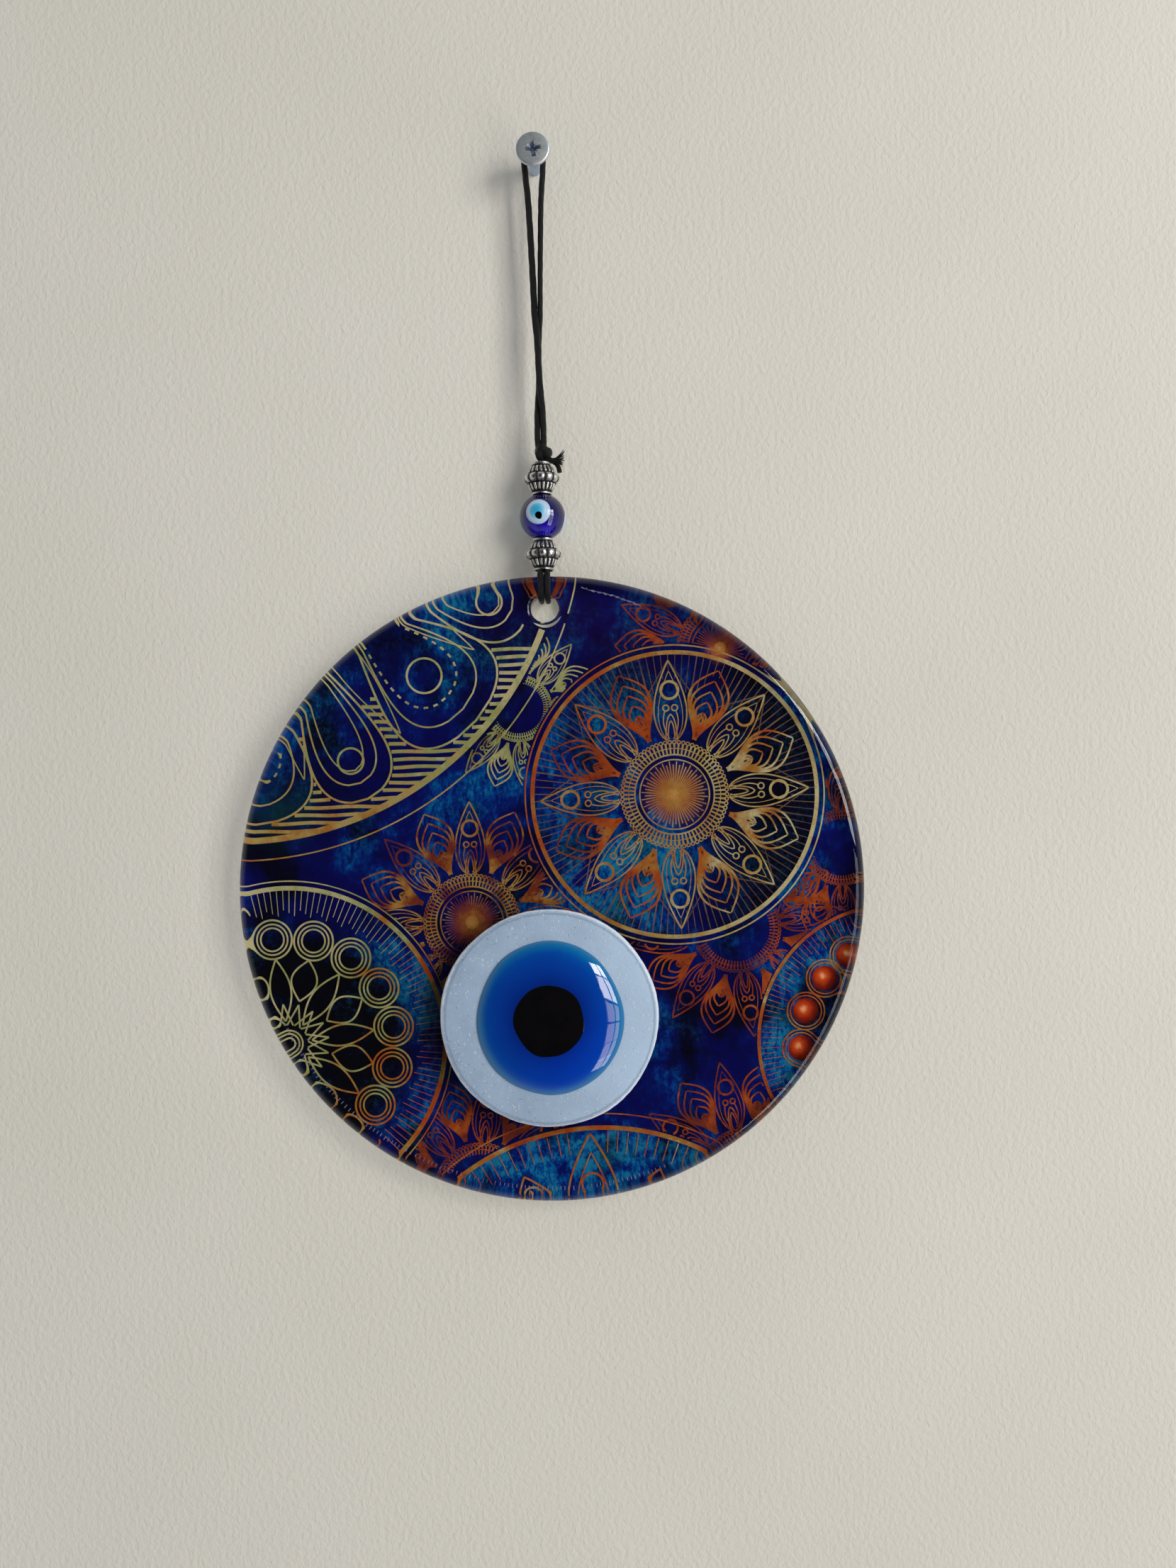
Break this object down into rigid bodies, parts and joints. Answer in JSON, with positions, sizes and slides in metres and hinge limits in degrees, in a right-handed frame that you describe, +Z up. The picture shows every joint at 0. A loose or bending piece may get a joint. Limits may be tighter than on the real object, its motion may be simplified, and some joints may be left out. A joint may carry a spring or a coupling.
{
  "type": "evil eye ornament",
  "caption": "Round printed glass wall ornament with a large fused-glass eye, hung on a looped waxed cord with an eye bead between fluted silver spacers, over a wall screw.",
  "frame": {"origin": "the point where the screw's axis meets the wall", "axes": "+Z up, +X to the right of someone facing the ornament, +Y into the wall; the front faces -Y"},
  "size_m": [0.15, 0.0432, 0.2546],
  "materials": {
    "screw_zinc": "bright zinc plate",
    "waxed_cord": "waxed black twisted cotton",
    "antique_silver": "antique silver plate, dark in the recesses",
    "cobalt_glass": "polished cobalt-blue glass",
    "white_glass": "opaque white glass",
    "turquoise_glass": "opaque turquoise glass",
    "black_glass": "black glass",
    "clear_glass": "clear fire-polished float glass",
    "printed_film": "printed mandala pattern in blues, gold and rust, opaque backed",
    "milk_glass": "translucent grey-white fused glass with fine bubbles",
    "iris_glass": "deep blue fused glass, turquoise at the edge"
  },
  "bodies": {
    "screw": {"wall_screw": "screw_zinc"},
    "crown": {"loop_crown": "waxed_cord"},
    "hanger": {"loop_strand_left": "waxed_cord", "loop_strand_right": "waxed_cord", "cord_knot": "waxed_cord", "cord_tail_frayed": "waxed_cord", "cord_tail_short": "waxed_cord", "cord_bundle": "waxed_cord"},
    "upper_bead": {"upper_spacer": "antique_silver"},
    "middle_bead": {"eye_bead": "cobalt_glass", "bead_eye_white_1": "white_glass", "bead_eye_white_2": "white_glass", "bead_eye_white_3": "white_glass", "bead_eye_blue_1": "turquoise_glass", "bead_eye_blue_2": "turquoise_glass", "bead_eye_blue_3": "turquoise_glass", "bead_pupil_1": "black_glass", "bead_pupil_2": "black_glass", "bead_pupil_3": "black_glass"},
    "lower_bead": {"lower_spacer": "antique_silver"},
    "bight": {"cord_bight_left": "waxed_cord", "cord_bight_right": "waxed_cord"},
    "disc": {"glass_disc": "clear_glass", "print_film": "printed_film", "eye_white": "milk_glass", "eye_iris": "iris_glass", "eye_pupil": "black_glass"}
  },
  "joints": [
    {"name": "loop_swing", "type": "hinge", "parent": "screw", "child": "crown", "pos_m": [0, -0.006, 0], "axis": [0, 1, 0], "range_deg": [-60, 60]},
    {"name": "loop_lift", "type": "hinge", "parent": "crown", "child": "hanger", "pos_m": [0, -0.006, 0], "axis": [-1, 0, 0], "range_deg": [0, 40], "deforming": ["loop_strand_left", "loop_strand_right"]},
    {"name": "upper_spacer_spin", "type": "hinge", "parent": "hanger", "child": "upper_bead", "pos_m": [0, -0.006, -0.07725], "axis": [0, 0, 1], "continuous": true},
    {"name": "eye_bead_spin", "type": "hinge", "parent": "hanger", "child": "middle_bead", "pos_m": [0, -0.006, -0.0863], "axis": [0, 0, 1], "continuous": true},
    {"name": "lower_spacer_spin", "type": "hinge", "parent": "hanger", "child": "lower_bead", "pos_m": [0, -0.006, -0.0954], "axis": [0, 0, 1], "continuous": true},
    {"name": "disc_tilt", "type": "hinge", "parent": "hanger", "child": "bight", "pos_m": [0, -0.006, -0.0994], "axis": [-1, 0, 0], "range_deg": [0, 35], "deforming": ["cord_bight_left", "cord_bight_right"]},
    {"name": "disc_rock", "type": "hinge", "parent": "bight", "child": "disc", "pos_m": [0, -0.006, -0.1063], "axis": [0, 1, 0], "range_deg": [-12, 12]}
  ]
}
